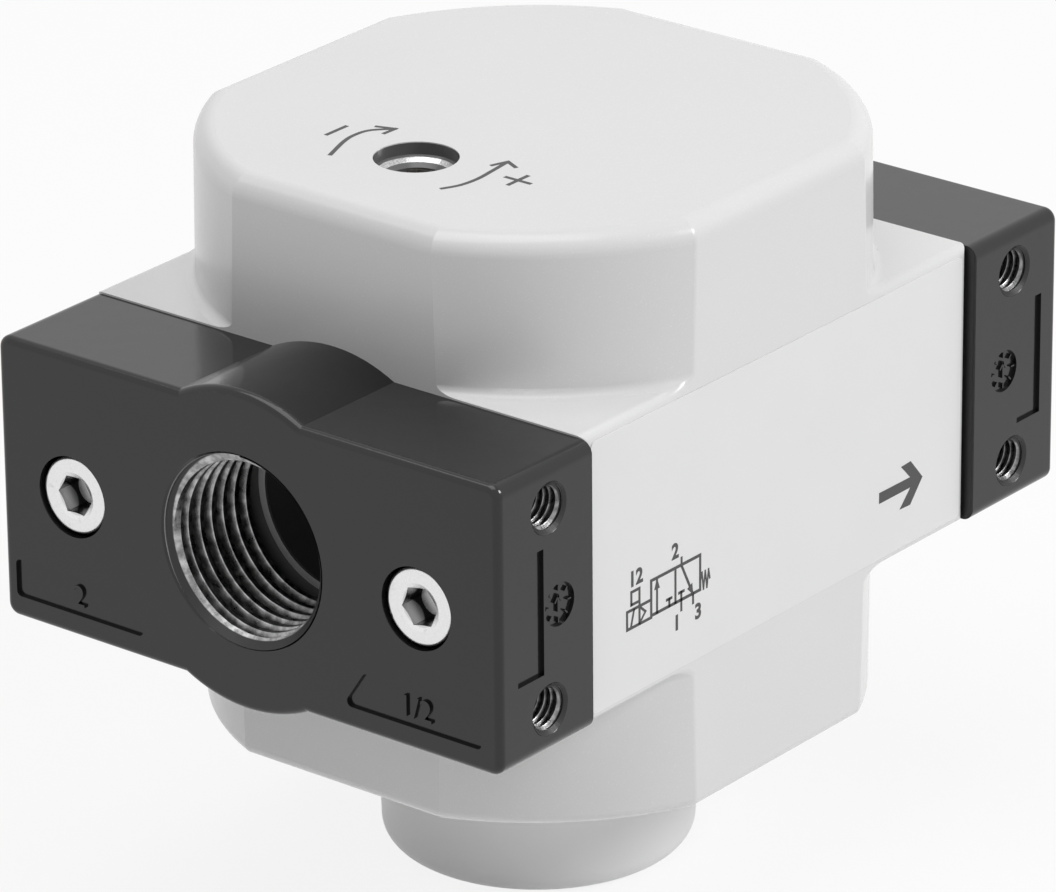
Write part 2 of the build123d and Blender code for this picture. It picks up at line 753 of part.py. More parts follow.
export_step(throttle_screw.part, "parts/throttle_screw.step")

throttle_seal = turned_ring(throttle_groove_radius + running_clearance,
                            throttle_bore_radius - running_clearance,
                            throttle_groove_top - ring_side_gap,
                            throttle_groove_height - 2 * ring_side_gap,
                            throttle_seal_corner, throttle_x, throttle_y)
throttle_seal.part.label = "throttle_seal"
export_step(throttle_seal.part, "parts/throttle_seal.step")

# Wire ring over the throttle screw, sprung into its groove
with BuildPart() as throttle_retaining_ring:
    with BuildSketch(Plane(origin=(throttle_x, throttle_y, level(retaining_ring_level)),
                           x_dir=(1, 0, 0), z_dir=(0, -1, 0))):
        with Locations((throttle_bore_radius, 0)):
            Circle(retaining_ring_wire)
    revolve(axis=throttle_axis, revolution_arc=360 - retaining_ring_opening)
throttle_retaining_ring.part.label = "throttle_retaining_ring"
export_step(throttle_retaining_ring.part, "parts/throttle_retaining_ring.step")

# Printed film on the long side
with BuildPart() as side_label:
    with BuildSketch(Plane.XZ.offset(arm_side)):
        with Locations((0, port_level)):
            RectangleRounded(label_length, label_height, label_corner_radius)
    extrude(amount=label_thickness)
side_label.part.label = "side_label"
export_step(side_label.part, "parts/side_label.step")
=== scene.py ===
import json
from math import cos, pi, radians, sin

import bmesh
import bpy
from mathutils import Matrix, Vector


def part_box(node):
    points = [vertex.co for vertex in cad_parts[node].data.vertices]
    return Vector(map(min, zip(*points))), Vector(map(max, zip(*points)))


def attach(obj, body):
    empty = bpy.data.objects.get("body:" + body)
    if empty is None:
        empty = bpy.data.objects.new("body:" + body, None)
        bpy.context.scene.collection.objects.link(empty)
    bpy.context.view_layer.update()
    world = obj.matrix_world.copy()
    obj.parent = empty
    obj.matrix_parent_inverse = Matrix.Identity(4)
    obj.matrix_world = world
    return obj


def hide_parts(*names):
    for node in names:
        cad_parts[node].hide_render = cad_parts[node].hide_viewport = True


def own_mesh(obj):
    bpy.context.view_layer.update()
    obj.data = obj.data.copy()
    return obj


# Looks of the soft-start valve: paint, bare metal, threads, moulded marks, print and the squeezed spring.
# The frame is in metres. X runs along the flow, Z is up, and the valve stands on its bottom cap.

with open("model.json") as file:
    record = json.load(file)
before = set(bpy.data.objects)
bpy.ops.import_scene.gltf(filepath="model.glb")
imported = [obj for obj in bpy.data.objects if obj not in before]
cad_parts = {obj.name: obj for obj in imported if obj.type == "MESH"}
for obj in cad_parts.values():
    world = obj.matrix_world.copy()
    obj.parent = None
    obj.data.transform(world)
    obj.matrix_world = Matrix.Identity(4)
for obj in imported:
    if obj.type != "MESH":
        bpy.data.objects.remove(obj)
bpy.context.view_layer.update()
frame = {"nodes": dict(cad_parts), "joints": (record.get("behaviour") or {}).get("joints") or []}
nodes = frame["nodes"]

mm = 0.001


def low(node):
    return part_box(node)[0]


def high(node):
    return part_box(node)[1]


# Places read from the frame
inlet_face = low("inlet_plate")[0]
outlet_face = high("outlet_plate")[0]
plate_middle = (high("inlet_plate")[1] + low("inlet_plate")[1]) / 2
plate_half = (high("inlet_plate")[1] - low("inlet_plate")[1]) / 2
port_height = (high("side_label")[2] + low("side_label")[2]) / 2
body_top = high("housing")[2]
label_face = low("side_label")[1]
screw_axis = (high("throttle_screw") + low("throttle_screw")) / 2
screw_face = high("outlet_plate_screws")[0]
screw_row = high("outlet_plate_screws")[1] - (high("outlet_plate_screws")[2] - port_height)

# G 1/2 port thread, and the M5 holes in the plates' sides
port_thread = {"major": 10.478 * mm, "crest": 9.42 * mm, "pitch": 1.814 * mm, "crest_width": 0.62 * mm,
               "root_width": 0.2 * mm, "mouth": 10.62 * mm, "turns": 7.5, "facets": 96}
side_thread = {"major": 2.5 * mm, "crest": 2.1 * mm, "pitch": 0.8 * mm, "crest_width": 0.2 * mm,
               "root_width": 0.1 * mm, "mouth": 2.85 * mm, "turns": 9.5, "facets": 40}

# Every ridge: its start before the mouth as a share of the pitch, its depth in the wall, the broken edges
# of its crest, and its gap to the outer face
thread_lead = 0.1
sunk = 0.03 * mm
crest_break = (0.06 * mm, 0.05 * mm)
mouth_gap = 0.02 * mm

# Holes in the plates' sides
side_hole_inset = 8.0 * mm
side_hole_spacing = 22 * mm

# The two ends: name, outer face and the way in along X
ends = (("inlet", inlet_face, 1), ("outlet", outlet_face, -1))

# Points of one mesh that are closer than this are one point
same_point = 0.0005 * mm

# How far paint, painted shade and bare metal reach in the castings and the screw sockets
passage_radius = 9.6 * mm
passage_end = 33.2 * mm
chamber_radius = 16.05 * mm
chamber_roof = 2.5 * mm
hole_radius = 4.56 * mm
hole_lip = 0.12 * mm
ring_outer = 4.2 * mm
ring_inner = 3.62 * mm
port_bore_radius = 10.56 * mm
port_lip = 0.2 * mm
side_bore_radius = 2.56 * mm
side_lip = 0.45 * mm
socket_outer = 2.4 * mm
socket_inner = 1.7 * mm
socket_mouth = 0.2 * mm
socket_bottom = 2.3 * mm

# Moulded fields of the plates and the dials in the round ones
field_depth = 0.4 * mm
field_middle = 22.6 * mm
field_level = -11.3 * mm
figure_size = 3.4 * mm
dial_inset = 9.6 * mm
figure_height = 0.32 * mm
figure_sunk = 0.02 * mm
dial_height = 0.3 * mm
dial_depth = 0.42 * mm
tick_start = 1.55 * mm
tick_end = 1.95 * mm
tick_width = 0.16 * mm
ticks = 8
arrow_tail = -0.7 * mm
arrow_tip = 0.9 * mm
arrow_width = 0.26 * mm
barb_reach = 0.5 * mm
barb_end = 0.3 * mm
barb_width = 0.2 * mm

# Print. Lines that cross lie at slightly different heights.
ink = 0.02 * mm
step_up = 0.001 * mm
print_sunk = 0.005 * mm
print_figure = 2.35 * mm
print_weight = 0.085 * mm
top_shift = (0.5 * mm, 0.4 * mm)
stroke = 0.5 * mm
barb_stroke = 0.48 * mm


# Shader maths
class Value:
    """A number that changes over a surface. Arithmetic on it adds Math nodes to its finish."""

    def __init__(self, finish, socket):
        self.finish = finish
        self.socket = socket

    def math(self, operation, first, second=0.0):
        node = self.finish.node("ShaderNodeMath", {"operation": operation}, {0: first, 1: second})
        return Value(self.finish, node.outputs[0])

    def __add__(self, other):
        return self.math("ADD", self, other)

    __radd__ = __add__

    def __sub__(self, other):
        return self.math("SUBTRACT", self, other)

    def __rsub__(self, other):
        return self.math("SUBTRACT", other, self)

    def __mul__(self, other):
        return self.math("MULTIPLY", self, other)

    __rmul__ = __mul__

    def __gt__(self, other):
        return self.math("GREATER_THAN", self, other)

    def __lt__(self, other):
        return self.math("LESS_THAN", self, other)

    def size(self):
        return self.math("ABSOLUTE", self)

    def root(self):
        return self.math("SQRT", self)

    def fade(self, start, end):
        """0 before start and 1 past end, smooth between."""
        node = self.finish.node("ShaderNodeMapRange", {"interpolation_type": "SMOOTHSTEP"},
                                {0: self, 1: start, 2: end, 3: 0.0, 4: 1.0})
        return Value(self.finish, node.outputs[0])


class Finish:
    """A surface finish: one material, with its shader's constants on the shader itself."""

    def __init__(self, name, colour=(0.8, 0.8, 0.8), roughness=0.5, metallic=0.0, specular=0.5):
        self.material = bpy.data.materials.new(name)
        self.material.use_nodes = True
        self.tree = self.material.node_tree
        self.shader = self.tree.nodes["Principled BSDF"]
        self.shader.inputs["Base Color"].default_value = (*colour, 1)
        self.shader.inputs["Roughness"].default_value = roughness
        self.shader.inputs["Metallic"].default_value = metallic
        self.shader.inputs["Specular IOR Level"].default_value = specular
        place = self.node("ShaderNodeTexCoord")
        self.point = place.outputs["Object"]
        axes = self.node("ShaderNodeSeparateXYZ", inputs={0: self.point})
        self.x, self.y, self.z = (Value(self, socket) for socket in axes.outputs)

    def node(self, kind, settings=None, inputs=None):
        node = self.tree.nodes.new(kind)
        for name, value in (settings or {}).items():
            setattr(node, name, value)
        for name, value in (inputs or {}).items():
            self.feed(node.inputs[name], value)
        return node

    def feed(self, socket, value):
        if isinstance(value, Value):
            value = value.socket
        if isinstance(value, bpy.types.NodeSocket):
            self.tree.links.new(value, socket)
        else:
            socket.default_value = value

    def noise(self, grain, detail=2.0, roughness=0.5, point=None):
        """Noise from 0 to 1 with grains of about the given size in metres."""
        node = self.node("ShaderNodeTexNoise", inputs={
            "Vector": point or self.point, "Scale": 1 / grain, "Detail": detail, "Roughness": roughness})
        return Value(self, node.outputs[0])

    def vector(self, x, y, z):
        return self.node("ShaderNodeCombineXYZ", inputs={0: x, 1: y, 2: z}).outputs[0]

    def mix(self, share, first, second):
        """Colour between two colours."""
        node = self.node("ShaderNodeMix", {"data_type": "RGBA"})
        self.feed(node.inputs["Factor"], share)
        for socket, value in ((node.inputs[6], first), (node.inputs[7], second)):
            self.feed(socket, (*value, 1) if isinstance(value, tuple) else value)
        return node.outputs[2]

    def paint(self, colour=None, roughness=None, metallic=None, bump=None, distance=0.01 * mm):
        if colour is not None:
            self.feed(self.shader.inputs["Base Color"], colour)
        if roughness is not None:
            self.feed(self.shader.inputs["Roughness"], roughness)
        if metallic is not None:
            self.feed(self.shader.inputs["Metallic"], metallic)
        if bump is not None:
            height = {"Height": bump, "Distance": distance, "Strength": 1.0}
            node = self.node("ShaderNodeBump", inputs=height)
            self.feed(self.shader.inputs["Normal"], node.outputs[0])


def grey(level):
    """Linear grey for a level read as it shows on a screen, 0 to 255."""
    share = level / 255
    linear = share / 12.92 if share <= 0.04045 else ((share + 0.055) / 1.055) ** 2.4
    return (linear, linear, linear)


def from_axis(across, along):
    """Distance from an axis, from the two distances beside it."""
    return (across * across + along * along).root()


# Finishes
def cast_paint():
    """Pale grey paint with a fine sparkle, bare metal where the body is machined, painted shade in the
    passages and the adjusting hole.
    """
    f = Finish("cast_paint")
    orange_peel = f.noise(1.6 * mm, 2.0)
    sparkle = f.noise(0.16 * mm, 1.0)
    cloud = f.noise(22 * mm, 3.0)
    flake = sparkle.fade(0.62, 0.74)
    haze = f.noise(0.35 * mm, 2.0).fade(0.24, 0.33)
    painted = f.mix(cloud, grey(226), grey(231))
    painted = f.mix(flake * 0.35, painted, grey(250))
    painted = f.mix(haze * 0.1, painted, grey(170))

    # Painted shade in the cast passages and on the adjusting hole's wall, bare chambers, and one bright
    # bare ring in the hole
    from_port = from_axis(f.y, f.z - port_height)
    from_centre = from_axis(f.x, f.y)
    from_throttle = from_axis(f.x - screw_axis[0], f.y - screw_axis[1])
    shaded_passages = (from_port < passage_radius) * (f.x.size() < passage_end)
    chambers = (from_centre < chamber_radius) * (f.z < body_top - chamber_roof)
    shaded_hole = (from_throttle < hole_radius) * (f.z < body_top - hole_lip)
    ring = shaded_hole * (from_throttle < ring_outer) * (from_throttle > ring_inner)
    bare = ring.math("MAXIMUM", chambers * (1 - shaded_passages), ring)
    turned = f.noise(0.12 * mm, 1.0, point=f.vector(from_throttle, f.z * 0.6, 0.0))
    metal = f.mix(turned * 0.5 + sparkle.fade(0.4, 0.6) * 0.5, grey(150), grey(228))
    # Painted shade: the adjusting hole below its lip is dark grey, and the cast passages are darker still.
    painted = f.mix(shaded_hole, painted, grey(96))
    painted = f.mix(shaded_passages, painted, grey(62))
    roughness = 0.2 + sparkle * 0.08
    f.paint(colour=f.mix(bare, painted, metal), roughness=roughness * (1 - bare) + bare * 0.3,
            metallic=bare, bump=orange_peel * (1 - bare) + sparkle * 0.25 + turned * bare * 0.4,
            distance=0.012 * mm)
    return f.material


def plate_paint(face):
    """Black half-gloss paint, bare metal in the port and in the side holes."""
    f = Finish("plate_paint")
    orange_peel = f.noise(2.2 * mm, 2.0)
    grain = f.noise(0.25 * mm, 2.0)
    cloud = f.noise(14 * mm, 2.0)
    from_port = from_axis(f.y, f.z - port_height)
    depth = (f.x - face).size()
    bore = (from_port < port_bore_radius) * (depth > port_lip)
    hole_x = f.x - (face - side_hole_inset * (1 if face > 0 else -1))
    hole_z = (f.z - port_height).size() - side_hole_spacing / 2
    from_hole = from_axis(hole_x, hole_z)
    holes = (from_hole < side_bore_radius) * ((f.y - plate_middle).size() < plate_half - side_lip)
    bare = bore.math("MAXIMUM", bore, holes)
    painted = f.mix(cloud, grey(20), grey(25))
    roughness = (0.12 + grain * 0.06) * (1 - bare) + bare * 0.4
    f.paint(colour=f.mix(bare, painted, grey(120)), roughness=roughness,
            metallic=bare, bump=orange_peel * (1 - bare) + grain * 0.12, distance=0.014 * mm)
    return f.material


def thread_metal(name, depth_of, painted_depth, grain, dark, bright):
    """Cut metal of a threaded hole: scuffed crests with fine cutting marks, the lead-in still painted."""
    f = Finish(name, metallic=1.0)
    marks = f.noise(grain, 2.0, 0.6)
    smear = f.noise(9 * grain, 3.0)
    depth = depth_of(f)
    painted = 1 - depth.fade(painted_depth * 0.94, painted_depth * 1.06)
    metal = f.mix(marks * 0.45 + smear.fade(0.35, 0.7) * 0.55, dark, bright)
    f.paint(colour=f.mix(painted, metal, grey(30)), metallic=1 - painted,
            roughness=painted * 0.12 + 0.2 + smear * 0.2, bump=marks, distance=0.014 * mm)
    return f.material


def zinc_plate():
    """Bright zinc on the socket screws, faintly clouded, with painted shade on the walls of the sockets
    that darkens towards their bottoms.
    """
    f = Finish("zinc_plate", metallic=1.0)
    cloud = f.noise(1.1 * mm, 4.0, 0.6)
    scuff = f.noise(0.28 * mm, 2.0)
    stain = cloud.fade(0.6, 0.75)
    from_screw = from_axis(f.y.size() - screw_row, f.z - port_height)
    depth = screw_face - f.x.size()
    socket = (from_screw < socket_outer) * (from_screw > socket_inner) * (depth > socket_mouth)
    # Painted shade: the socket walls go from light grey at the mouth to dark grey at the bottom.
    socket_shade = f.mix(depth.fade(socket_mouth, socket_bottom), grey(205), grey(70))
    bright = f.mix(stain * 0.5, f.mix(scuff, grey(222), grey(238)), grey(196))
    f.paint(colour=f.mix(socket, bright, socket_shade), roughness=0.2 + cloud * 0.2 - socket * 0.1,
            bump=scuff + cloud * 0.5, distance=0.006 * mm)
    return f.material


def cap_paint():
    """The cap's smoother, slightly duller paint."""
    f = Finish("cap_paint")
    sparkle = f.noise(0.3 * mm, 1.0)
    cloud = f.noise(18 * mm, 2.0)
    f.paint(colour=f.mix(cloud, grey(238), grey(243)), roughness=0.4 + sparkle * 0.06,
            bump=f.noise(2.4 * mm, 2.0) + sparkle * 0.2, distance=0.008 * mm)
    return f.material


def label_film():
    """Thin satin film, a little cooler than the paint."""
    f = Finish("label_film")
    cloud = f.noise(9 * mm, 2.0)
    fibre = f.noise(0.2 * mm, 2.0)
    f.paint(colour=f.mix(cloud, grey(228), grey(232)), roughness=0.38 + fibre * 0.08,
            bump=f.noise(3.5 * mm, 2.0) + fibre * 0.1, distance=0.006 * mm)
    return f.material


def print_ink():
    """Dark grey printing ink."""
    f = Finish("print_ink")
    fleck = f.noise(0.15 * mm, 2.0)
    f.paint(colour=f.mix(fleck, grey(62), grey(78)), roughness=0.5 + fleck * 0.1)
    return f.material


def rubber():
    f = Finish("seal_rubber")
    bloom = f.noise(1.2 * mm, 3.0)
    f.paint(colour=f.mix(bloom, grey(30), grey(44)), roughness=0.55 + bloom * 0.2,
            bump=f.noise(0.2 * mm, 2.0), distance=0.008 * mm)
    return f.material


def turned_metal(name, dark, bright, roughness, tint=(1, 1, 1), centre=(0.0, 0.0)):
    """Turned round about an upright axis: fine rings in the shine and in the bump."""
    f = Finish(name, metallic=1.0)
    radius = from_axis(f.x - centre[0], f.y - centre[1])
    rings = f.noise(0.14 * mm, 2.0, 0.6, point=f.vector(radius, f.z, 0.0))
    cloud = f.noise(3 * mm, 3.0)
    shade = [tuple(c * t for c, t in zip(grey(level), tint)) for level in (dark, bright)]
    f.paint(colour=f.mix(rings * 0.6 + cloud * 0.4, *shade), roughness=roughness + cloud * 0.12,
            bump=rings, distance=0.01 * mm)
    return f.material


def sintered():
    """Pressed bronze grains of the breather's disc."""
    f = Finish("sintered_bronze", metallic=0.8)
    cells = f.node("ShaderNodeTexVoronoi", inputs={"Vector": f.point, "Scale": 1 / (0.35 * mm)})
    grains = Value(f, cells.outputs["Distance"])
    f.paint(colour=f.mix(grains, (0.42, 0.27, 0.12), (0.13, 0.08, 0.04)), roughness=0.5 + grains * 0.3,
            bump=1 - grains, distance=0.06 * mm)
    return f.material


def bearing_plastic():
    f = Finish("bearing_plastic")
    cloud = f.noise(2 * mm, 3.0)
    f.paint(colour=f.mix(cloud, (0.7, 0.69, 0.65), (0.8, 0.79, 0.75)), roughness=0.5 + cloud * 0.1,
            bump=f.noise(0.3 * mm, 2.0), distance=0.005 * mm)
    return f.material


def finish_nodes():
    brass_tint = (1.0, 0.82, 0.5)
    brass = turned_metal("turned_brass", 190, 214, 0.24, tint=brass_tint)
    aluminium = turned_metal("turned_aluminium", 184, 212, 0.28)
    stainless = turned_metal("stainless_steel", 176, 206, 0.2)
    needle = turned_metal("needle_brass", 150, 184, 0.28, tint=brass_tint, centre=tuple(screw_axis)[:2])
    spring = turned_metal("spring_steel", 128, 168, 0.26)
    seals = rubber()
    by_node = {
        "housing": cast_paint(),
        "inlet_plate": plate_paint(inlet_face),
        "outlet_plate": plate_paint(outlet_face),
        "inlet_plate_screws": zinc_plate(),
        "side_label": label_film(),
        "bottom_cap": cap_paint(),
        "breather_filter": sintered(),
        "stem_guide_bush": bearing_plastic(),
        "seat_ring": brass,
        "valve_stem": stainless,
        "stem_nut": stainless,
        "poppet_disc": aluminium,
        "piston": aluminium,
        "guide_insert": aluminium,
        "return_spring": spring,
        "throttle_retaining_ring": spring,
        "throttle_screw": needle,
    }
    by_node["outlet_plate_screws"] = by_node["inlet_plate_screws"]
    for name, node in nodes.items():
        material = by_node.get(name, seals)
        for slot in node.material_slots:
            slot.material = material


finish_nodes()


# Added pieces
def piece(name, bm, material, place=None, body="body"):
    """Makes a finished piece from a mesh, in its place, riding on its body."""
    if place is not None:
        bmesh.ops.transform(bm, matrix=place, verts=bm.verts)
    bmesh.ops.recalc_face_normals(bm, faces=bm.faces)
    mesh = bpy.data.meshes.new(name)
    bm.to_mesh(mesh)
    bm.free()
    mesh.shade_flat()
    mesh.materials.append(material)
    made = bpy.data.objects.new(name, mesh)
    bpy.context.scene.collection.objects.link(made)
    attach(made, body)
    return made


def placed(origin, across, up):
    """Matrix to a spot: its X along across, its Y along up, its Z out of the surface."""
    x = Vector(across).normalized()
    y = Vector(up).normalized()
    z = x.cross(y)
    turn = Matrix((x, y, z)).transposed().to_4x4()
    return Matrix.Translation(origin) @ turn


def thread_ridge(bm, major, crest, pitch, crest_width, root_width, mouth, turns, facets):
    """Helical ridge of an internal thread. Its mouth is at the origin, and it runs up the Z axis."""
    base = (pitch - root_width) / 2
    top = crest_width / 2
    socket_shade = major + sunk
    flank = crest + crest_break[0]
    shoulder = top + crest_break[1]
    outline = [(socket_shade, -base), (major, -base), (flank, -shoulder), (crest, -top),
               (crest, top), (flank, shoulder), (major, base), (socket_shade, base)]
    verts = [bm.verts.new((r, 0, z - thread_lead * pitch)) for r, z in outline]
    edges = [bm.edges.new((a, b)) for a, b in zip(verts, verts[1:] + verts[:1])]
    steps = int(turns * facets)
    bm.faces.new(verts)
    spun = bmesh.ops.spin(bm, geom=verts + edges, cent=(0, 0, 0), axis=(0, 0, 1),
                          dvec=(0, 0, pitch / facets), angle=2 * pi * turns, steps=steps)
    last = [g for g in spun["geom_last"] if isinstance(g, bmesh.types.BMEdge)]
    bmesh.ops.contextual_create(bm, geom=last)
    # The countersink at the mouth turns the first ridge down to a cone
    for v in bm.verts:
        depth = max(v.co.z, mouth_gap)
        v.co.z = depth
        radius = (v.co.x ** 2 + v.co.y ** 2) ** 0.5
        cone = mouth - mouth_gap - depth
        if radius < cone:
            v.co.x *= cone / radius
            v.co.y *= cone / radius
    bmesh.ops.remove_doubles(bm, verts=bm.verts, dist=same_point)


def port_threads():
    for end, face, inward in ends:
        bm = bmesh.new()
        thread_ridge(bm, **port_thread)
        place = placed((face, 0, port_height), (0, 0, 1), (0, -inward, 0))
        metal = thread_metal(end + "_thread_metal", lambda f: (f.x - face).size(), 0.76 * mm, 0.12 * mm,
                             grey(84), grey(214))
        piece(end + "_port_thread", bm, metal, place)


def side_hole_threads():
    # Darker tones than the ports' thread metal: painted shade inside the small side holes.
    metal = thread_metal("side_thread_metal", lambda f: plate_half - (f.y - plate_middle).size(),
                         0.62 * mm, 0.1 * mm, grey(60), grey(178))
    for end, face, inward in ends:
        bm = bmesh.new()
        for hand in (-1, 1):
            for level in (-1, 1):
                hole = bmesh.new()
                thread_ridge(hole, **side_thread)
                spot = (face + inward * side_hole_inset, plate_middle + hand * plate_half,
                        port_height + level * side_hole_spacing / 2)
                bmesh.ops.transform(hole, matrix=placed(spot, (0, 0, 1), (-hand, 0, 0)), verts=hole.verts)
                joined(bm, hole)
        piece(end + "_side_hole_threads", bm, metal)


def lettering(bm, text, size, thickness, place, weight=0.0):
    """Adds plain figures, centred on the place's origin."""
    curve = bpy.data.curves.new("figure", "FONT")
    curve.body = text
    curve.size = size
    curve.align_x = "CENTER"
    curve.align_y = "CENTER"
    curve.extrude = thickness / 2
    curve.offset = weight
    curve.resolution_u = 6
    holder = bpy.data.objects.new("figure", curve)
    bpy.context.scene.collection.objects.link(holder)
    bpy.context.view_layer.update()
    mesh = bpy.data.meshes.new_from_object(holder.evaluated_get(bpy.context.evaluated_depsgraph_get()))
    mesh.transform(place @ Matrix.Translation((0, 0, thickness / 2)))
    figures = bmesh.new()
    figures.from_mesh(mesh)
    bmesh.ops.remove_doubles(figures, verts=figures.verts, dist=same_point)
    bpy.data.objects.remove(holder)
    bpy.data.curves.remove(curve)
    bpy.data.meshes.remove(mesh)
    joined(bm, figures)


def slab(bm, outline, thickness, place):
    """Adds a flat slab of an outline of a few points."""
    verts = [bm.verts.new((x, y, 0)) for x, y in outline]
    face = bm.faces.new(verts)
    raised = bmesh.ops.extrude_face_region(bm, geom=[face])
    tops = [g for g in raised["geom"] if isinstance(g, bmesh.types.BMVert)]
    bmesh.ops.translate(bm, vec=(0, 0, thickness), verts=tops)
    bmesh.ops.transform(bm, matrix=place, verts=verts + tops)


def bar(bm, start, end, width, thickness, place):
    """Adds a straight printed line, square at its ends."""
    a = Vector(start)
    b = Vector(end)
    side = (b - a).normalized().orthogonal() * width / 2
    run = (b - a).normalized() * width / 2
    slab(bm, [a - run - side, b + run - side, b + run + side, a - run + side], thickness, place)


def joined(bm, other):
    """Adds one mesh in the making to another, and ends it."""
    mesh = bpy.data.meshes.new("part")
    other.to_mesh(mesh)
    other.free()
    bm.from_mesh(mesh)
    bpy.data.meshes.remove(mesh)


def smooth_run(points, steps=8):
    """Spots along a smooth curve through the given points."""
    spots = [Vector(point) for point in points]
    spots = [2 * spots[0] - spots[1]] + spots + [2 * spots[-1] - spots[-2]]
    run = []
    for a, b, c, d in zip(spots, spots[1:], spots[2:], spots[3:]):
        for step in range(steps):
            t = step / steps
            run.append(b + (c - a) * t / 2 + (2 * a - 5 * b + 4 * c - d) * t ** 2 / 2
                       + (3 * b - a - 3 * c + d) * t ** 3 / 2)
    return run + [spots[-2]]


def ribbon(bm, points, width, thickness, place):
    """Adds a curved printed line through the points."""
    run = smooth_run(points)
    left = []
    right = []
    for before, spot, after in zip(run[:1] + run, run, run[1:] + run[-1:]):
        side = (after - before).normalized().orthogonal() * width / 2
        left.append(spot + side)
        right.append(spot - side)
    slab(bm, left + right[::-1], thickness, place)


def dial(bm, place):
    """Adds a plain dial: a ring of ticks round an arrow."""
    for tick in range(ticks):
        angle = 2 * pi * tick / ticks
        outward = Vector((cos(angle), sin(angle)))
        bar(bm, tick_start * outward, tick_end * outward, tick_width, dial_height, place)
    bar(bm, (0, arrow_tail), (0, arrow_tip), arrow_width, dial_height, place)
    for hand in (-1, 1):
        bar(bm, (0, arrow_tip), (hand * barb_reach, barb_end), barb_width, dial_height, place)


def plate_marks():
    """Raised figures in the plates' moulded fields, and plain dials in the round ones."""
    fields = {"inlet": ("2", "1/2"), "outlet": ("1", "1/2")}
    for end, face, inward in ends:
        bm = bmesh.new()
        floor = face + inward * field_depth
        for hand, figure in zip((1, -1), fields[end]):
            spot = (floor + inward * figure_sunk, hand * inward * field_middle, port_height + field_level)
            lettering(bm, figure, figure_size, figure_height, placed(spot, (0, -inward, 0), (0, 0, 1)))
        for hand in (-1, 1):
            side = plate_middle + hand * (plate_half - dial_depth)
            spot = (face + inward * dial_inset, side, port_height)
            dial(bm, placed(spot, (-hand, 0, 0), (0, 0, 1)))
        piece(end + "_plate_marks", bm, nodes[end + "_plate"].material_slots[0].material)


def label_print():
    """Flow arrow, the valve's diagram and its port numbers, printed on the film."""
    film = placed((0, label_face + print_sunk, port_height), (1, 0, 0), (0, 0, 1))
    bm = bmesh.new()

    def line(points, width=0.33):
        for number, (start, end) in enumerate(zip(points, points[1:])):
            height = ink + number * step_up
            bar(bm, Vector(start) * mm, Vector(end) * mm, width * mm, height, film)

    def solid(points):
        slab(bm, [(x * mm, z * mm) for x, z in points], ink + 7 * step_up, film)

    # Flow arrow
    solid([(17.27, -8.55), (17.27, -7.3), (22.85, -7.35), (21.17, -5.62), (22.91, -5.52), (25.07, -8.03),
           (22.89, -10.56), (20.97, -10.48), (22.9, -8.55)])

    # Valve diagram: two boxes side by side
    left, divide, right, low_edge, high_edge = -22.07, -18.02, -13.86, -7.4, -3.5
    line([(left, low_edge), (right, low_edge), (right, high_edge), (left, high_edge), (left, low_edge)],
         0.36)
    line([(divide, low_edge), (divide, high_edge)], 0.34)
    # Flow paths: through in the left box, vented in the right one, the other ports shut
    line([(-21.1, low_edge), (-21.1, high_edge)])
    solid([(-21.1, high_edge), (-21.56, -4.75), (-20.64, -4.75)])
    line([(-19.05, low_edge), (-19.05, -6.59)])
    line([(-19.45, -6.59), (-18.7, -6.59)], 0.32)
    line([(-16.99, -3.59), (-15.2, -7.2)])
    solid([(-15.03, -7.56), (-16.04, -6.55), (-15.2, -6.15)])
    line([(-17.04, -8.54), (-17.04, -6.53)])
    line([(-17.4, -6.53), (-16.64, -6.53)], 0.32)
    # Port stubs
    line([(-16.99, -3.59), (-16.99, -2.75)])
    line([(-15.06, low_edge), (-15.06, -8.44)])
    # Return spring on the right
    line([(right, -6.6), (-13.55, -5.6), (-13.3, -7.5), (-13.0, -5.6), (-12.72, -7.5), (-12.44, -5.6),
          (-12.25, -6.6)], 0.24)
    # Hand override above, pilot and its line below
    line([(-25.36, -5.04), (-25.36, -3.63), (-24.02, -3.63), (-24.02, -7.5)])
    line([(-25.36, -5.04), (-24.02, -5.04)], 0.32)
    line([(left, -5.62), (-26.08, -5.62), (-26.08, -7.6), (left, -7.6)], 0.34)
    line([(-25.45, -7.53), (-24.92, -5.7)], 0.31)
    line([(-23.91, -5.77), (-23.01, -6.57), (-23.79, -7.32)], 0.28)
    for figure, x, z in (("12", -24.6, -2.3), ("2", -18.05, -1.7), ("1", -17.8, -9.8), ("3", -14.2, -9.75)):
        spot = film @ Matrix.Translation((x * mm, z * mm, 0))
        lettering(bm, figure, print_figure, ink, spot, print_weight)
    piece("label_print", bm, print_ink())


def top_print():
    """Curved arrows beside the adjusting hole: clockwise for less, the other way for more."""
    top = placed((*top_shift, body_top - print_sunk), (1, 0, 0), (0, 1, 0))
    bm = bmesh.new()
    less = [(-22.7, 8.7), (-18.74, 10.11), (-16.51, 10.45), (-14.55, 10.05), (-12.6, 8.23)]
    more = [(-23.2, -6.4), (-21.16, -7.35), (-18.7, -7.65), (-15.94, -7.4), (-12.97, -7.05)]
    less_barbs = [(-13.26, 10.18), (-14.31, 8.3)]
    more_barbs = [(-14.72, -6.41), (-13.73, -8.64)]
    for run, barbs in ((less, less_barbs), (more, more_barbs)):
        ribbon(bm, [Vector(point) * mm for point in run], stroke, ink, top)
        for number, barb in enumerate(barbs):
            height = ink + (number + 1) * step_up
            bar(bm, Vector(run[-1]) * mm, Vector(barb) * mm, barb_stroke, height, top)
    # Minus by one arrow, plus by the other
    for start, end, height in (((-18.2, 12.8), (-15.2, 12.8), ink), ((-18.0, -11.2), (-15.0, -11.2), ink),
                               ((-16.5, -12.7), (-16.5, -9.7), ink + step_up)):
        bar(bm, Vector(start) * mm, Vector(end) * mm, stroke, height, top)
    piece("top_print", bm, bpy.data.materials["print_ink"])


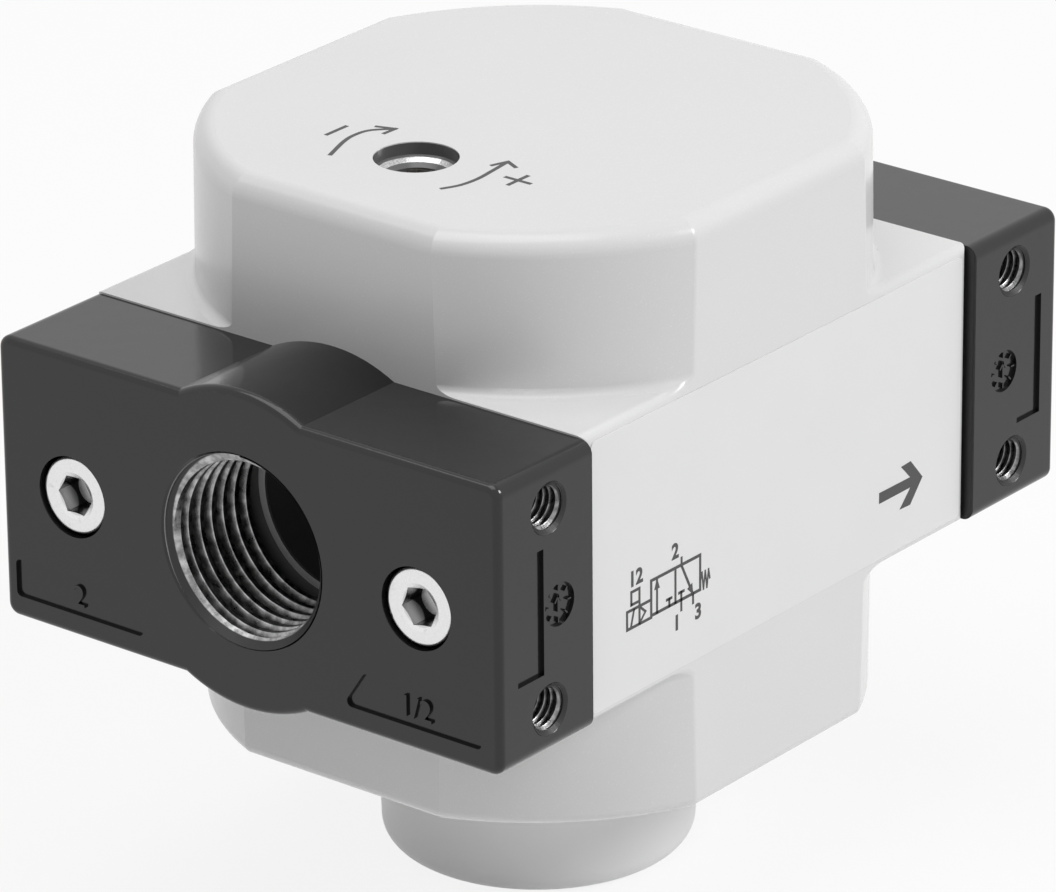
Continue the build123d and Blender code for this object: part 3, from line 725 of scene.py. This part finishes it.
def squeezed_spring():
    """The return spring once more, as a piece of its own in place of the original; it is not squeezed."""
    bm = bmesh.new()
    bm.from_mesh(nodes["return_spring"].data)
    bmesh.ops.remove_doubles(bm, verts=bm.verts, dist=same_point)
    metal = nodes["return_spring"].material_slots[0].material
    spring = piece("squeezed_return_spring", bm, metal)
    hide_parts("return_spring")
    slide = next(joint for joint in frame["joints"] if joint["name"] == "poppet_slide")
    opening = -slide["range_m"][0]
    length = high("return_spring")[2] - low("return_spring")[2]
    1 - opening / length
    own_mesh(spring)


squeezed_spring()
port_threads()
side_hole_threads()
plate_marks()
label_print()
top_print()


# Floor, light and camera. Sizes are in metres and lamps in watts.
floor_radius = 3.0
floor_shade = (0.92, 0.92, 0.92)
shown_white = 0.85
soft_level = 0.31
key_lamp = {"place": (0.45, -0.95, 0.85), "size": (0.4, 0.4), "power": 8.0}
top_lamp = {"place": (-0.2, 0.15, 1.1), "size": (0.9, 0.9), "power": 5.5}
view = {"azimuth": -51.337, "elevation": 22.804, "roll": -0.458, "lens": 262.13,
        "shift": (-0.0131, -0.0325), "place": (-0.58703, -0.47055, port_height + 0.31578)}


def white_floor():
    """Shows as paper white and throws little light back."""
    bm = bmesh.new()
    bmesh.ops.create_circle(bm, cap_ends=True, segments=96, radius=floor_radius)
    mesh = bpy.data.meshes.new("floor")
    bm.to_mesh(mesh)
    bm.free()
    floor = bpy.data.objects.new("floor", mesh)
    bpy.context.scene.collection.objects.link(floor)
    white = Finish("floor_white", colour=floor_shade, roughness=0.9, specular=0.0)
    ray = white.node("ShaderNodeLightPath")
    glow = white.node("ShaderNodeEmission", inputs={"Color": (1, 1, 1, 1), "Strength": 1.0})
    seen = Value(white, ray.outputs["Is Camera Ray"])
    seen = seen.math("MAXIMUM", seen, Value(white, ray.outputs["Is Glossy Ray"]))
    mixed = white.node("ShaderNodeMixShader")
    white.feed(mixed.inputs[0], seen * shown_white)
    white.feed(mixed.inputs[1], white.shader.outputs[0])
    white.feed(mixed.inputs[2], glow.outputs[0])
    white.feed(white.tree.nodes["Material Output"].inputs[0], mixed.outputs[0])
    mesh.materials.append(white.material)


def soft_world():
    """White where it is seen, softer where it lights."""
    world = bpy.data.worlds.new("studio")
    bpy.context.scene.world = world
    world.use_nodes = True
    tree = world.node_tree
    tree.nodes.clear()
    out = tree.nodes.new("ShaderNodeOutputWorld")
    path = tree.nodes.new("ShaderNodeLightPath")
    seen_white = tree.nodes.new("ShaderNodeMath")
    seen_white.operation = "MAXIMUM"
    tree.links.new(path.outputs["Is Camera Ray"], seen_white.inputs[0])
    tree.links.new(path.outputs["Is Glossy Ray"], seen_white.inputs[1])
    soft = tree.nodes.new("ShaderNodeBackground")
    soft.inputs["Color"].default_value = (1, 1, 1, 1)
    soft.inputs["Strength"].default_value = soft_level
    plain = tree.nodes.new("ShaderNodeBackground")
    plain.inputs["Color"].default_value = (1, 1, 1, 1)
    plain.inputs["Strength"].default_value = 1.0
    choose = tree.nodes.new("ShaderNodeMixShader")
    tree.links.new(seen_white.outputs[0], choose.inputs[0])
    tree.links.new(soft.outputs[0], choose.inputs[1])
    tree.links.new(plain.outputs[0], choose.inputs[2])
    tree.links.new(choose.outputs[0], out.inputs[0])


def lamp(name, place, size, power):
    """Soft box aimed at the middle of the valve."""
    light = bpy.data.lights.new(name, "AREA")
    light.shape = "RECTANGLE"
    light.size, light.size_y = size
    light.energy = power
    holder = bpy.data.objects.new(name, light)
    bpy.context.scene.collection.objects.link(holder)
    aim = Vector((0, 0, port_height)) - Vector(place)
    holder.location = place
    holder.rotation_euler = aim.to_track_quat("-Z", "Y").to_euler()


def camera():
    """The photograph's view."""
    azimuth, elevation, roll = (radians(view[turn]) for turn in ("azimuth", "elevation", "roll"))
    back = Vector((sin(azimuth) * cos(elevation), -cos(azimuth) * cos(elevation), sin(elevation)))
    level_right = Vector((0, 0, 1)).cross(back).normalized()
    level_up = back.cross(level_right)
    right = level_right * cos(roll) + level_up * sin(roll)
    up = level_up * cos(roll) - level_right * sin(roll)
    data = bpy.data.cameras.new("camera")
    data.sensor_width = 36
    data.lens = view["lens"]
    data.shift_x, data.shift_y = view["shift"]
    data.clip_start = 0.05
    data.clip_end = 20
    made = bpy.data.objects.new("camera", data)
    bpy.context.scene.collection.objects.link(made)
    turn = Matrix((right, up, back)).transposed().to_4x4()
    made.matrix_world = Matrix.Translation(view["place"]) @ turn
    bpy.context.scene.camera = made


white_floor()
soft_world()
lamp("key", **key_lamp)
lamp("top", **top_lamp)
camera()
bpy.context.scene.view_settings.view_transform = "Standard"
